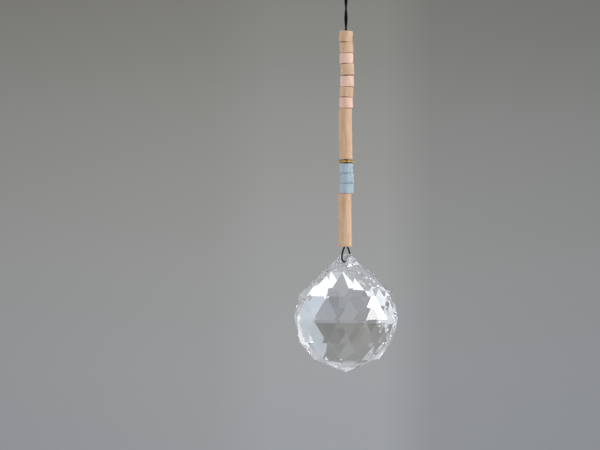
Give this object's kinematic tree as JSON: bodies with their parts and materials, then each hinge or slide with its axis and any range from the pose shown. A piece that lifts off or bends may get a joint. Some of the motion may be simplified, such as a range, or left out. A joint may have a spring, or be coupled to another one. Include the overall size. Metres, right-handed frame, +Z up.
{
  "type": "crystal suncatcher",
  "caption": "Clear faceted crystal ball hung by its drilled neck on a doubled black thread strung with wood beads, wood tubes and a brass spacer, with a loop for a hook.",
  "frame": {"origin": "inside the top of the hanging loop, where the hook bears", "axes": "+Z up along the thread; the front faces -Y, with the thread entering the crystal's hole on that side"},
  "size_m": [0.0296, 0.0296, 0.1253],
  "materials": {
    "clear_crystal": "polished lead crystal, clear and colourless",
    "natural_wood": "pale fine-grained wood, sanded, matt",
    "pink_wood": "pale pink stain on wood, matt",
    "blue_wood": "pale blue stain on wood, matt",
    "brass": "polished, a little worn",
    "black_thread": "waxed cotton bead thread"
  },
  "bodies": {
    "root": {"hanging_loop": "black_thread", "thread_knot": "black_thread", "thread_twist": "black_thread", "thread_strand_left": "black_thread", "thread_strand_right": "black_thread", "thread_through_crystal": "black_thread", "natural_bead_1": "natural_wood", "natural_bead_2": "natural_wood", "pink_bead_1": "pink_wood", "natural_bead_3": "natural_wood", "pink_bead_2": "pink_wood", "natural_bead_4": "natural_wood", "pink_bead_3": "pink_wood", "wood_tube_upper": "natural_wood", "brass_spacer": "brass", "blue_bead_1": "blue_wood", "blue_bead_2": "blue_wood", "blue_bead_3": "blue_wood", "wood_tube_lower": "natural_wood", "crystal_ball": "clear_crystal"}
  },
  "joints": []
}
